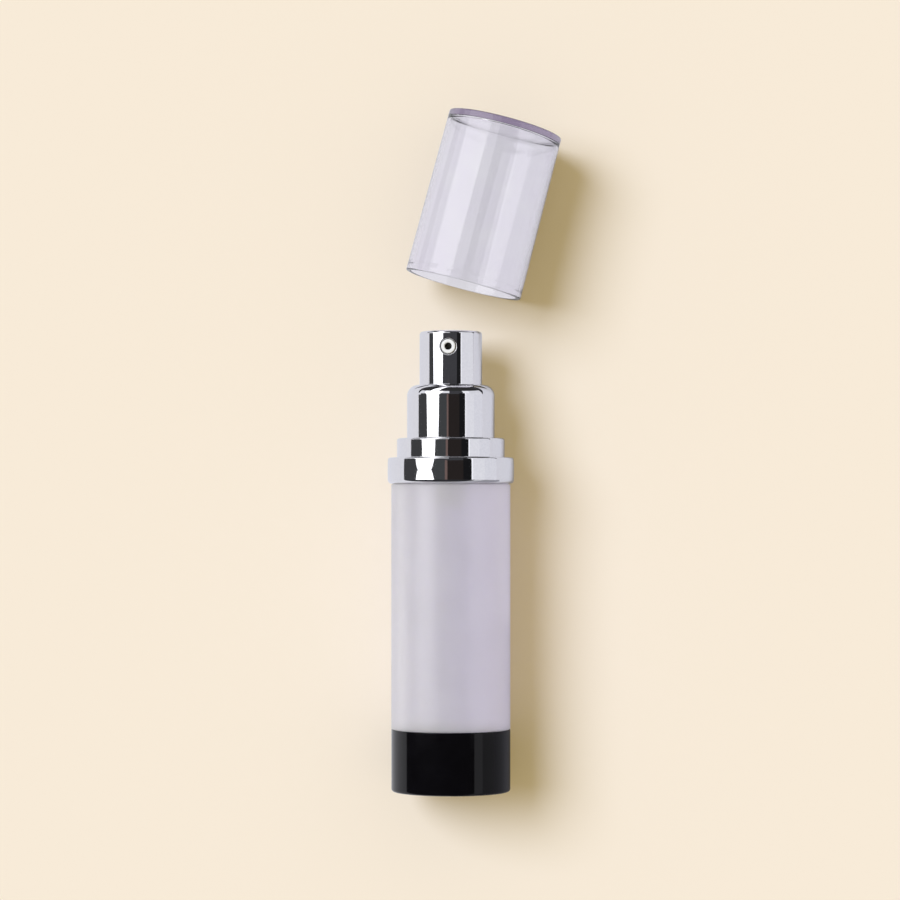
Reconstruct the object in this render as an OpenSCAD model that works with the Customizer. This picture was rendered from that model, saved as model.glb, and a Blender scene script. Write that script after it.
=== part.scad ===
// Airless pump bottle for about 30 ml, lying on its side with its clear cap taken off.
// Each piece is drawn upright, pump on top, with the underside of the base at z = 0. It is then
// laid down: the bottle's axis runs along +Y, the nozzle looks up along +Z, and the origin is the
// outer mouth of the air hole in the middle of the base.
// The pump has no dip tube. Its suction lifts a follower piston, and air comes in under the
// follower through the air hole.

/* [Bottle] */
// Bore of the body, in which the follower piston runs
chamber_d = 24; // [21.6:0.1:26.4]
// Wall of the body's spigot, inside the base cup
spigot_wall = 1.2; // [0.8:0.05:1.6]
// Frosted length that shows between the base and the shoulder sleeve
frosted_h = 59.8; // [35:0.1:90]
// Thickness of the body's shoulder, above the product
shoulder_t = 2.2; // [1.2:0.1:3]
// Height of the neck above the shoulder
neck_h = 9.2; // [8.6:0.1:12]
// Wall of the neck
neck_wall = 1.9; // [1.4:0.1:2.4]

/* [Base cup] */
// Height of the black base cup
base_h = 15.2; // [14.6:0.1:20]
// Wall of the base cup
base_wall = 1.25; // [0.8:0.05:1.6]
// Floor of the base cup
base_floor = 1.5; // [1:0.1:2.5]
// Diameter of the air hole in the floor
vent_d = 2; // [1:0.1:3]
// Diameter of the pad left standing round the air hole
vent_pad_d = 8; // [5:0.1:12]
// Depth of the ring-shaped recess between the pad and the foot
foot_recess = 0.4; // [0.2:0.1:0.7]

/* [Follower piston] */
// Height of the follower piston
follower_h = 11.2; // [10:0.1:13]
// Wall of the follower piston
follower_wall = 0.9; // [0.7:0.05:1.2]
// Reach of each lip past the follower's waist
follower_lip = 0.5; // [0.3:0.05:0.8]

/* [Shoulder sleeve] */
// Height of the widest step, which hides the top of the body
ring_h = 6.3; // [5:0.1:9]
// Wall of the widest step
ring_wall = 1.3; // [1:0.05:1.6]
// Diameter of the middle step, over which the cap slides
tier2_d = 26.2; // [25:0.1:26.8]
// Height of the middle step
tier2_h = 4.7; // [4:0.1:7]
// Height of the narrow step round the pump
tier1_h = 13; // [11.8:0.1:16]
// Wall of the two upper steps and of the flats between the steps
sleeve_wall = 1.1; // [0.8:0.05:1.3]
// Rounding of the narrow step's top edge
tier1_round = 2; // [0.5:0.1:2.2]
// Rounding of the other edges of the sleeve
edge_round = 0.6; // [0.2:0.05:0.7]

/* [Closure and gasket] */
// Wall of the snap closure's skirt
closure_wall = 1.25; // [0.8:0.05:1.5]
// Height of the bead on the neck that the closure hooks under
neck_bead = 0.45; // [0.3:0.05:0.6]
// Thickness of the neck gasket
gasket_t = 0.8; // [0.5:0.1:1.2]

/* [Pump] */
// Travel of the button
stroke = 4.5; // [3:0.1:5]
// Bore of the pump chamber
pump_bore = 8; // [7.4:0.1:8.4]
// Wall of the pump housing
housing_wall = 1; // [0.8:0.05:1.2]
// Thickness of the housing's flange
flange_t = 1.2; // [0.9:0.1:1.6]
// Outer diameter of the inlet nose under the chamber
nose_d = 7.3; // [7:0.1:8]
// Diameter of the inlet hole
inlet_d = 2.6; // [1.6:0.1:2.8]
// Diameter of the inlet ball
ball_d = 4; // [3.8:0.1:4.2]
// Lift of the inlet ball off its seat
ball_lift = 1; // [0.6:0.1:1.4]
// Outer diameter of the hollow stem
stem_d = 4.4; // [4.2:0.1:4.6]
// Bore of the hollow stem
stem_bore = 2.4; // [2.2:0.1:2.6]
// Height of the sliding pump piston
piston_h = 4.6; // [3.6:0.1:5.4]
// Play of the stem in the piston, which opens and shuts the outlet
lost_motion = 0.8; // [0.5:0.1:1.2]

/* [Return spring] */
// Outer diameter of the return spring
spring_d = 10.6; // [10:0.1:10.8]
// Wire of the return spring
wire_d = 0.8; // [0.6:0.05:0.9]
// Turns of the return spring
spring_turns = 5; // [4:1:6]

/* [Button] */
// Diameter of the button
button_d = 15.2; // [14.4:0.1:15.6]
// Height of the button above the sleeve
button_rise = 13; // [12:0.1:16]
// Wall of the button's shell
button_wall = 0.95; // [0.7:0.05:1.1]
// Depth of the nozzle's centre below the top of the button
nozzle_drop = 3.9; // [3.3:0.1:4.4]
// Diameter of the white nozzle insert
nozzle_d = 3.5; // [3.2:0.1:3.8]
// Diameter of the nozzle's opening
orifice_d = 1.7; // [1:0.1:1.9]
// Turn of the button on the stem, as it lies
button_turn = -5; // [-180:1:180]

/* [Cap] */
// Length of the cap
cap_l = 40.5; // [39.5:0.1:44]
// Wall of the cap
cap_wall = 1.1; // [0.8:0.05:1.4]
// Thickness of the cap's top
cap_top = 1.4; // [1.1:0.1:2.5]
// Narrowing of the cap's radius from its rim to its top
cap_draft = 0.35; // [0:0.05:0.5]
// Lean of the cap as it lies beside the bottle
cap_lean = 14.8; // [5:0.1:30]
// Way along the bottle from the cap's seat to where its rim lies
cap_pull = 42.1; // [38:0.1:60]
// Way across the bottle from its axis to the middle of the cap's rim
cap_aside = 3; // [0:0.1:6]

/* [Fits] */
// Radial gap of parts that slide or turn on each other
running_fit = 0.05; // [0.03:0.01:0.08]
// Radial gap of a soft sealing lip in its bore
lip_fit = 0.02; // [0.01:0.01:0.04]
// Radial gap of the cap on the middle step
cap_gap = 0.2; // [0.15:0.05:0.3]
// Radial gap of the button in the sleeve's hole
button_gap = 0.25; // [0.2:0.05:0.4]
// Gap left where one part stops against another
stop_gap = 0.3; // [0.2:0.05:0.4]

/* [Hidden] */
$fn = 96;
past = 1;

// Roundings of the moulded edges
small_round = 0.2;
fine_round = 0.3;
soft_round = 0.4;
// Overlap of two shapes that make one profile
join = 0.1;

// Radii of the bottle, from the inside out
chamber_r = chamber_d / 2;
spigot_r = chamber_r + spigot_wall;
cup_bore_r = spigot_r + running_fit;
body_r = cup_bore_r + base_wall;

// Radii of the pump, from the inside out, up to the narrow step of the sleeve
housing_clear = 0.8;
pump_r = pump_bore / 2;
housing_r = pump_r + housing_wall;
neck_bore_r = housing_r + housing_clear;
neck_r = neck_bore_r + neck_wall;
neck_bead_r = neck_r + neck_bead;
closure_bore_r = neck_bead_r + running_fit;
closure_r = closure_bore_r + closure_wall;
tier1_bore_r = closure_r + 2 * running_fit;
tier1_r = tier1_bore_r + sleeve_wall;
tier2_r = tier2_d / 2;
tier2_bore_r = tier2_r - sleeve_wall;
seat_step = 0.4;
seat_r = body_r - seat_step;
ring_bore_r = seat_r + running_fit;
ring_r = ring_bore_r + ring_wall;
button_r = button_d / 2;
button_hole_r = button_r + button_gap;

// Heights of the bottle, from the base up
spigot_z = base_floor + stop_gap;
ring_z = base_h + frosted_h;
ring_top_z = ring_z + ring_h;
ring_seam = 0.2;
seat_z = ring_z - ring_seam;
seat_round = 0.8;
shoulder_z = ring_top_z - sleeve_wall;
ceiling_z = shoulder_z - shoulder_t;
neck_z = shoulder_z + neck_h;
tier2_z = ring_top_z + tier2_h;
tier1_z = tier2_z + tier1_h;

// Snap bead between the base cup and the body's spigot
cup_bead_size = 0.3;
cup_bead_rise = 0.2;
cup_bead_up = 5;
cup_bead_z = base_floor + cup_bead_up;
foot_round = 0.7;
foot_w = 1;

// Rim on the shoulder that centres the sleeve
rim_r = tier2_bore_r - running_fit;
rim_wall = 1.1;
rim_h = 3.2;
rim_z = shoulder_z + rim_h;

// Snap closure: its hook catches the neck's bead, and its lip holds the stem guide down
neck_bead_drop = 2.4;
neck_bead_z = neck_z - neck_bead_drop;
neck_bead_land = 0.4;
neck_bead_slope = 0.9;
hook_h = 0.9;
hook_slope = 0.4;
hook_z = neck_bead_z - running_fit - hook_h;
sleeve_bead_rise = 0.12;
sleeve_bead_drop = 0.35;
guide_flange_t = 0.8;
lip_t = 0.8;
flange_z = neck_z + gasket_t;
flange_top_z = flange_z + flange_t;
guide_top_z = flange_top_z + guide_flange_t;
closure_top_z = guide_top_z + lip_t;
flange_r = neck_r - running_fit;
guide_flange_w = 2.6;
guide_flange_r = pump_r + guide_flange_w;
lip_w = 0.6;
lip_r = guide_flange_r - lip_w;

// Pump, from the guide down to the inlet
guide_plug = 1.8;
guide_z = flange_top_z - guide_plug;
collar_h = 1.2;
collar_r = 3;
collar_z = guide_z - running_fit - collar_h;
piston_top_z = collar_z - lost_motion;
piston_z = piston_top_z - piston_h;
stem_r = stem_d / 2;
stem_bore_r = stem_bore / 2;
skirt_wall = 0.7;
skirt_r = stem_bore_r + skirt_wall;
hub_bore_r = skirt_r + running_fit;
hub_wall = 0.8;
seat_chamfer = 0.4;
seat_gap = 0.04;
head_w = 1.1;
head_r = skirt_r + head_w;
head_t = 0.8;
rod_top_z = piston_z + seat_chamfer + running_fit - seat_gap;
rod_z = rod_top_z - (head_r - skirt_r) - head_t;
rod_clear = 0.55;
floor_z = rod_z - stroke - rod_clear;
floor_t = 1;
cage_t = 1.1;
cage_z = floor_z - cage_t;
cage_r = 3;
ball_r = ball_d / 2;
ball_clear = 0.3;
ball_room_r = ball_r + ball_clear;
ball_z = cage_z - ball_lift - ball_r;
// A ball sits at the root of two times its radius above the point of a 45 degree cone
seat_point_z = ball_z - sqrt(2) * ball_r - lip_fit;
inlet_r = inlet_d / 2;
inlet_h = 1.25;
nose_z = seat_point_z + inlet_r - inlet_h;
nose_r = nose_d / 2;

// Button: its skirt clears the closure at full travel
button_clear = 1;
button_z = closure_top_z + stroke + button_clear;
button_top_z = tier1_z + button_rise;
button_bore_r = button_r - button_wall;
button_roof = 1;
button_round = 0.7;
core_r = button_bore_r - running_fit;
core_top_z = button_top_z - button_roof - running_fit;
core_plate = 1.1;
core_flange_up = 3.9;
core_flange_z = button_z + core_flange_up;
core_hub_wall = 1.15;
core_hub_r = stem_r + running_fit + core_hub_wall;
guide_boss_wall = 1.35;
guide_boss_r = stem_r + running_fit + guide_boss_wall;
guide_boss_h = 0.7;
guide_boss_z = closure_top_z + guide_boss_h;
core_hub_clear = 0.6;
core_hub_z = guide_boss_z + stroke + core_hub_clear;
nozzle_z = button_top_z - nozzle_drop;
nozzle_r = nozzle_d / 2;
nozzle_step = 0.4;
nozzle_shank_r = nozzle_r - nozzle_step;
nozzle_sink = 0.1;
nozzle_hole_r = nozzle_r + 3 * running_fit;
nozzle_bevel = 0.3;
nozzle_tube_r = 2.55;
nozzle_socket = 2;
socket_drop = 3.1;
socket_top_z = nozzle_z - socket_drop;
stem_top_z = socket_top_z - running_fit;
orifice_r = orifice_d / 2;
channel_r = 1.1;

// Spring between the stem guide and the button core, with hexagonal wire
spring_r = (spring_d - wire_d) / 2;
wire_half = wire_d / 2 * cos(30);
dead_gap = 0.45;
spring_low = guide_top_z + running_fit + wire_half;
spring_high = core_flange_z - running_fit - wire_half;
rings_per_turn = 8;
wire_sides = 6;

// Follower: its stepped well takes the chamber and the nose of the pump
follower_z = base_floor + stop_gap;
follower_top_z = follower_z + follower_h;
follower_r = chamber_r - lip_fit;
waist_r = follower_r - follower_lip;
crown_drop = 0.6;
crown_z = follower_top_z - crown_drop;
chamber_under_z = floor_z - floor_t;
well_clear = 0.6;
well_more = 0.2;
wide_well_r = housing_r + well_clear;
wide_well = ceiling_z - chamber_under_z + well_more;
deep_well_r = nose_r + well_clear;
deep_well = ceiling_z - nose_z + well_more;

// Cap: its bore takes the middle step, and its rim stops on the widest one
cap_bore_r = tier2_r + cap_gap;
cap_r = cap_bore_r + cap_wall;
cap_bead = 0.08;
cap_bead_size = 0.5;
cap_bead_z = 1.9;
cap_rim_round = 0.4;
cap_inner_round = 1;
cap_top_round = 0.35;
cap_mouth_round = 0.35;
cap_seat_y = ring_top_z + running_fit;
cap_rim = [cap_aside, cap_seat_y + cap_pull];

// The cap comes off in one turn about a far pole: half the chord from seat to rest, and the
// rest of the way to the pole square to it
cap_chord = [-cap_aside, -cap_pull];
cap_pole = cap_rim + cap_chord / 2
         + [-cap_chord[1], cap_chord[0]] / (2 * tan(cap_lean / 2));
echo("pole of the cap's way, mm", cap_pole);

// Lays an upright piece down, with its pump end towards +Y
module lay() {
  rotate([-90, 0, 0]) children();
}

// Turns the button's pieces on the stem
module turned() {
  lay() rotate([0, 0, button_turn]) children();
}

// A rectangle of a turned profile, between two radii and two heights
module band(r0, r1, z0, z1) {
  translate([r0, z0]) square([r1 - r0, z1 - z0]);
}

// What a rounding of radius r takes off the corner at x, y, which points to the side sx, sy
module corner(x, y, r, sx, sy) {
  translate([x - sx * r, y - sy * r]) difference() {
    translate([sx > 0 ? 0 : -r - past, sy > 0 ? 0 : -r - past]) square(r + past);
    circle(r);
  }
}

// A rounded bead on the wall at radius r: its crest stands out by rise, inwards if that is negative
module round_bead(r, rise, z, size) {
  translate([r + rise - sign(rise) * size, z]) circle(size);
}

module bottle_body() {
  color([0.80, 0.79, 0.84, 0.75])
  lay() rotate_extrude() difference() {
    union() {
      polygon([
        [chamber_r, spigot_z], [spigot_r, spigot_z], [spigot_r, base_h], [body_r, base_h],
        [body_r, seat_z], [seat_r, seat_z], [seat_r, shoulder_z], [rim_r, shoulder_z],
        [rim_r, rim_z], [rim_r - rim_wall, rim_z],
        [rim_r - rim_wall, shoulder_z], [neck_r, shoulder_z], [neck_r, neck_z],
        [neck_bore_r, neck_z], [neck_bore_r, ceiling_z], [chamber_r, ceiling_z]
      ]);
      // Bead that the closure hooks under, with its long slope upwards
      polygon([[neck_r - join, neck_bead_z], [neck_bead_r, neck_bead_z + join],
               [neck_bead_r, neck_bead_z + join + neck_bead_land],
               [neck_r - join, neck_bead_z + join + neck_bead_land + neck_bead_slope]]);
      round_bead(spigot_r, cup_bead_rise, cup_bead_z, cup_bead_size);
    }
    corner(body_r, base_h, small_round, 1, -1);
    corner(seat_r, shoulder_z, seat_round, 1, 1);
    corner(neck_r, neck_z, soft_round, 1, 1);
    corner(chamber_r, spigot_z, fine_round, -1, -1);
  }
}

module base_cup() {
  color([0.05, 0.05, 0.06])
  lay() rotate_extrude() difference() {
    band(0, body_r, 0, base_h);
    band(-past, vent_d / 2, -past, base_h);
    band(-past, cup_bore_r, base_floor, base_h + past);
    band(vent_pad_d / 2, cup_bore_r - foot_w, -past, foot_recess);
    round_bead(spigot_r, cup_bead_rise + running_fit, cup_bead_z, cup_bead_size + running_fit);
    corner(body_r, 0, foot_round, 1, -1);
    corner(body_r, base_h, small_round, 1, 1);
  }
}

module follower_piston() {
  lip_taper = 0.35;
  lip_start = 0.4;
  lip_end = 0.9;
  lip_root = 2.2;
  color([0.93, 0.93, 0.95])
  lay() rotate_extrude() {
    // Skirt with a lip at each end
    polygon([
      [waist_r - follower_wall, follower_z + follower_lip], [follower_r - lip_taper, follower_z],
      [follower_r, follower_z + lip_start], [follower_r, follower_z + lip_end],
      [waist_r, follower_z + lip_root], [waist_r, follower_top_z - lip_root],
      [follower_r, follower_top_z - lip_end], [follower_r, follower_top_z - lip_start],
      [follower_r - lip_taper, follower_top_z], [waist_r - follower_wall, crown_z]
    ]);
    // Crown, drawn down into a wide and a deep well
    polygon([
      [waist_r - join, crown_z], [wide_well_r, crown_z],
      [wide_well_r, crown_z - wide_well], [deep_well_r, crown_z - wide_well],
      [deep_well_r, crown_z - deep_well], [0, crown_z - deep_well],
      [0, crown_z - deep_well - follower_wall],
      [deep_well_r + follower_wall, crown_z - deep_well - follower_wall],
      [deep_well_r + follower_wall, crown_z - wide_well - follower_wall],
      [wide_well_r + follower_wall, crown_z - wide_well - follower_wall],
      [wide_well_r + follower_wall, crown_z - follower_wall], [waist_r - join, crown_z - follower_wall]
    ]);
  }
}

module shoulder_sleeve() {
  color([0.82, 0.83, 0.86])
  lay() rotate_extrude() difference() {
    union() {
      polygon([
        [ring_bore_r, ring_z], [ring_r, ring_z], [ring_r, ring_top_z], [tier2_r, ring_top_z],
        [tier2_r, tier2_z], [tier1_r, tier2_z], [tier1_r, tier1_z], [button_hole_r, tier1_z],
        [button_hole_r, tier1_z - sleeve_wall], [tier1_bore_r, tier1_z - sleeve_wall],
        [tier1_bore_r, tier2_z - sleeve_wall], [tier2_bore_r, tier2_z - sleeve_wall],
        [tier2_bore_r, shoulder_z], [ring_bore_r, shoulder_z]
      ]);
      // Bead that snaps under the closure
      round_bead(tier1_bore_r, -sleeve_bead_rise, hook_z - sleeve_bead_drop, fine_round);
    }
    corner(ring_r, ring_z, edge_round, 1, -1);
    corner(ring_r, ring_top_z, edge_round, 1, 1);
    corner(tier2_r, tier2_z, edge_round, 1, 1);
    corner(tier1_r, tier1_z, tier1_round, 1, 1);
    corner(button_hole_r, tier1_z, small_round, -1, 1);
  }
}

module snap_closure() {
  color([0.95, 0.95, 0.94])
  lay() rotate_extrude() difference() {
    union() {
      band(closure_bore_r, closure_r, hook_z, closure_top_z);
      // Hook that catches under the neck's bead
      polygon([[neck_r + running_fit, hook_z + hook_slope], [closure_bore_r + join, hook_z],
               [closure_bore_r + join, hook_z + hook_h], [neck_r + running_fit, hook_z + hook_h]]);
      // Plate that clamps the pump's flange, with a lip over the stem guide
      band(guide_flange_r + running_fit, closure_r, flange_top_z, closure_top_z);
      band(lip_r, closure_r, guide_top_z, closure_top_z);
    }
    corner(closure_r, closure_top_z, soft_round, 1, 1);
  }
}

module neck_gasket() {
  color([0.88, 0.90, 0.92])
  lay() rotate_extrude() band(neck_bore_r + running_fit, flange_r, neck_z, flange_z);
}

module pump_housing() {
  // Land that fills the neck under the flange, and the slope and chamfer that lead parts in
  land_h = 2;
  land_slope = 0.6;
  nose_chamfer = 0.5;
  color([0.92, 0.92, 0.94])
  lay() rotate_extrude() difference() {
    polygon([
      [inlet_r, nose_z], [nose_r - nose_chamfer, nose_z], [nose_r, nose_z + nose_chamfer],
      [nose_r, chamber_under_z], [housing_r, chamber_under_z],
      [housing_r, flange_z - land_h - land_slope], [neck_bore_r - running_fit, flange_z - land_h],
      [neck_bore_r - running_fit, flange_z], [flange_r, flange_z], [flange_r, flange_top_z],
      [pump_r, flange_top_z], [pump_r, floor_z], [cage_r + running_fit, floor_z],
      [cage_r + running_fit, cage_z], [ball_room_r, cage_z],
      [ball_room_r, seat_point_z + ball_room_r], [inlet_r, seat_point_z + inlet_r]
    ]);
    corner(housing_r, chamber_under_z, soft_round, 1, -1);
  }
}

module inlet_ball() {
  color([0.75, 0.76, 0.78])
  lay() translate([0, 0, ball_z]) sphere(ball_r);
}

// Slotted disc over the ball: it stops the ball, and the product flows up through its slots
module ball_cage() {
  slot_w = 0.9;
  slot_edge = 0.5;
  color([0.95, 0.95, 0.94])
  lay() difference() {
    translate([0, 0, cage_z]) cylinder(h = cage_t, r = cage_r);
    for (turn = [0, 90])
      rotate([0, 0, turn])
        translate([0, 0, cage_z + cage_t / 2])
          cube([2 * (cage_r - slot_edge), slot_w, cage_t + past], center = true);
  }
}

module stem_guide() {
  color([0.95, 0.95, 0.94])
  lay() rotate_extrude() difference() {
    polygon([
      [stem_r + running_fit, guide_z], [pump_r - lip_fit, guide_z],
      [pump_r - lip_fit, flange_top_z], [guide_flange_r, flange_top_z],
      [guide_flange_r, guide_top_z], [guide_boss_r, guide_top_z],
      [guide_boss_r, guide_boss_z], [stem_r + running_fit, guide_boss_z]
    ]);
    corner(guide_boss_r, guide_boss_z, fine_round, 1, 1);
  }
}

// Hollow stem: a collar stops it under the guide, and four ports in its skirt let the product in
module pump_stem() {
  port_w = 0.9;
  port_h = 2.4;
  color([0.96, 0.96, 0.95])
  lay() difference() {
    rotate_extrude() difference() {
      polygon([
        [stem_bore_r, rod_top_z], [skirt_r, rod_top_z], [skirt_r, collar_z], [collar_r, collar_z],
        [collar_r, collar_z + collar_h], [stem_r, collar_z + collar_h], [stem_r, stem_top_z],
        [stem_bore_r, stem_top_z]
      ]);
      corner(stem_r, stem_top_z, fine_round, 1, 1);
    }
    for (turn = [0, 90])
      rotate([0, 0, turn])
        translate([0, 0, rod_top_z + (port_h - past) / 2])
          cube([2 * skirt_r + past, port_w, port_h + past], center = true);
  }
}

// Outlet valve: its cone shuts against the piston, and its cross-shaped shank grips the stem's bore
module outlet_rod() {
  shank_h = 5;
  rib_w = 0.8;
  shank_r = stem_bore_r - lip_fit;
  color([0.95, 0.95, 0.94])
  lay() {
    rotate_extrude() polygon([
      [0, rod_z], [head_r, rod_z], [head_r, rod_z + head_t], [skirt_r, rod_top_z], [0, rod_top_z]
    ]);
    intersection() {
      translate([0, 0, rod_top_z - join]) cylinder(h = shank_h, r = shank_r);
      for (turn = [45, 135])
        rotate([0, 0, turn]) translate([0, 0, rod_top_z + shank_h / 2])
          cube([stem_bore, rib_w, 2 * shank_h], center = true);
    }
  }
}

// Soft piston: a hub that slides on the stem's skirt and a sleeve with two lips in the bore
module pump_piston() {
  lip_r = pump_r - lip_fit;
  lip_reach = 0.25;
  lip_taper = 0.15;
  sleeve_r = lip_r - lip_reach;
  sleeve_t = 0.55;
  sleeve_in = sleeve_r - sleeve_t;
  hub_r = hub_bore_r + hub_wall;
  web_t = 0.8;
  web_share = 0.42;
  web_z = piston_z + piston_h * web_share;
  // Heights of the lower lip from the foot, and of the upper one from the top
  low_in = 0.5;
  low_tip = 0.3;
  low_root = 1.1;
  top_gap = 0.2;
  top_tip = 0.5;
  top_in = 0.7;
  top_root = 1.3;
  color([0.97, 0.97, 0.97])
  lay() rotate_extrude() {
    polygon([
      [hub_bore_r, piston_z + seat_chamfer], [hub_bore_r + seat_chamfer, piston_z],
      [hub_r, piston_z + small_round], [hub_r, piston_top_z], [hub_bore_r, piston_top_z]
    ]);
    band(hub_r - join, sleeve_r - join, web_z, web_z + web_t);
    polygon([
      [sleeve_in, piston_z + low_in], [lip_r - lip_taper, piston_z], [lip_r, piston_z + low_tip],
      [sleeve_r, piston_z + low_root], [sleeve_r, piston_top_z - top_root],
      [lip_r, piston_top_z - top_tip], [lip_r - lip_taper, piston_top_z - top_gap],
      [sleeve_in, piston_top_z - top_in]
    ]);
  }
}

// Centre line of the spring: the two end turns lie close, and those between share the rest
function spring_rise(t) =
  let (dead = wire_d + dead_gap, open = (spring_high - spring_low - 2 * dead) / (spring_turns - 2))
  t < 1 ? dead * t
  : t > spring_turns - 1 ? spring_high - spring_low - dead * (spring_turns - t)
  : dead + open * (t - 1);
function spring_point(t, out = 0) =
  [(spring_r + out) * cos(360 * t), (spring_r + out) * sin(360 * t), spring_low + spring_rise(t)];
function spring_tangent(t) = [-sin(360 * t), cos(360 * t), 0];
// One hexagon of the wire, square to the way it runs; slide moves it straight on along the wire
function wire_ring(t, slide = 0) = [
  for (k = [0 : wire_sides - 1])
    let (a = 360 * k / wire_sides)
    spring_point(t, wire_d / 2 * cos(a)) + [0, 0, wire_d / 2 * sin(a)] + slide * spring_tangent(t)
];
spring_rings = spring_turns * rings_per_turn;
spring_gap = min([
  for (i = [0 : spring_rings - rings_per_turn])
    norm(spring_point(i / rings_per_turn + 1) - spring_point(i / rings_per_turn)) - wire_d
]);
echo("least gap between the spring's turns, mm", spring_gap);

module return_spring() {
  points = concat(
    wire_ring(0, -wire_d),
    [for (i = [0 : spring_rings]) each wire_ring(i / rings_per_turn)],
    wire_ring(spring_turns, wire_d)
  );
  last = spring_rings + 2;
  sides = [
    for (i = [0 : last - 1], k = [0 : wire_sides - 1])
      let (a = i * wire_sides + k, b = i * wire_sides + (k + 1) % wire_sides)
      each [[a, a + wire_sides, b + wire_sides], [a, b + wire_sides, b]]
  ];
  ends = [
    for (k = [1 : wire_sides - 2])
      each [[0, k, k + 1], [last * wire_sides, last * wire_sides + k + 1, last * wire_sides + k]]
  ];
  color([0.72, 0.73, 0.75])
  lay() polyhedron(points, concat(sides, ends));
}

module button_shell() {
  color([0.84, 0.85, 0.88])
  turned() difference() {
    rotate_extrude() difference() {
      band(0, button_r, button_z, button_top_z);
      band(-past, button_bore_r, button_z - past, button_top_z - button_roof);
      corner(button_r, button_top_z, button_round, 1, 1);
      corner(button_r, button_z, small_round, 1, -1);
    }
    // Hole for the nozzle, with a bevelled edge
    translate([0, 0, nozzle_z]) rotate([90, 0, 0]) {
      cylinder(h = button_r + past, r = nozzle_hole_r);
      translate([0, 0, button_r - 2 * nozzle_bevel])
        cylinder(h = 2 * nozzle_bevel, r1 = nozzle_hole_r, r2 = nozzle_hole_r + nozzle_bevel);
    }
  }
}

// Spool inside the button: it takes the stem, the spring and the nozzle, and carries the shell
module button_core() {
  rib_w = 0.9;
  rib_inset = 0.2;
  rib_h = core_top_z - core_flange_z - core_plate;
  tube_inset = 0.15;
  color([0.96, 0.96, 0.95])
  turned() difference() {
    union() {
      rotate_extrude() {
        band(0, core_hub_r, core_hub_z, core_top_z);
        band(0, core_r, core_flange_z, core_flange_z + core_plate);
        band(0, core_r, core_top_z - core_plate, core_top_z);
      }
      for (turn = [0, 60, 120])
        rotate([0, 0, turn])
          translate([0, 0, (core_flange_z + core_top_z) / 2])
            cube([2 * (core_r - rib_inset), rib_w, rib_h], center = true);
      translate([0, 0, nozzle_z]) rotate([90, 0, 0])
        cylinder(h = core_r - tube_inset, r = nozzle_tube_r);
    }
    // Socket for the stem, and the way on to the nozzle
    translate([0, 0, core_hub_z - past])
      cylinder(h = socket_top_z - core_hub_z + past, r = stem_r + running_fit);
    translate([0, 0, socket_top_z - past]) cylinder(h = nozzle_z - socket_top_z + past, r = channel_r);
    translate([0, 0, nozzle_z]) rotate([90, 0, 0]) cylinder(h = core_r, r = channel_r);
    translate([0, 0, nozzle_z]) rotate([90, 0, 0]) translate([0, 0, core_r - nozzle_socket])
      cylinder(h = nozzle_socket + past, r = nozzle_shank_r + running_fit);
  }
}

// White insert with a round face, a flared mouth and a shank in the core
module nozzle_insert() {
  face_y = button_r - nozzle_sink;
  shank_y = core_r - nozzle_socket + nozzle_sink;
  flare_w = 0.4;
  flare_h = 0.35;
  edge = 0.25;
  color([0.97, 0.97, 0.97])
  turned() translate([0, 0, nozzle_z]) rotate([90, 0, 0]) rotate_extrude() difference() {
    union() {
      band(orifice_r, nozzle_shank_r, shank_y, face_y);
      band(orifice_r, nozzle_r, core_r + join, face_y);
    }
    corner(nozzle_r, face_y, edge, 1, 1);
    polygon([[0, face_y - flare_h], [orifice_r, face_y - flare_h], [orifice_r + flare_w, face_y],
             [orifice_r + flare_w, face_y + past], [0, face_y + past]]);
  }
}

module overcap() {
  top_r = cap_r - cap_draft;
  color([0.86, 0.84, 0.92, 0.5])
  translate([cap_rim[0], cap_rim[1], 0]) rotate([0, 0, -cap_lean]) lay()
  rotate_extrude() difference() {
    union() {
      difference() {
        polygon([[0, 0], [cap_r, 0], [cap_r, cap_rim_round], [top_r, cap_l - cap_top_round],
                 [top_r, cap_l], [0, cap_l]]);
        difference() {
          band(-past, cap_bore_r, -past, cap_l - cap_top);
          corner(cap_bore_r, cap_l - cap_top, cap_inner_round, 1, 1);
        }
        corner(cap_bore_r, 0, cap_mouth_round, -1, -1);
      }
      round_bead(cap_bore_r, -cap_bead, cap_bead_z, cap_bead_size);
    }
    corner(cap_r, 0, cap_rim_round, 1, -1);
    corner(top_r, cap_l, cap_top_round, 1, 1);
  }
}

bottle_body();
base_cup();
follower_piston();
shoulder_sleeve();
snap_closure();
neck_gasket();
pump_housing();
inlet_ball();
ball_cage();
stem_guide();
pump_stem();
outlet_rod();
pump_piston();
return_spring();
button_shell();
button_core();
nozzle_insert();
overcap();
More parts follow.
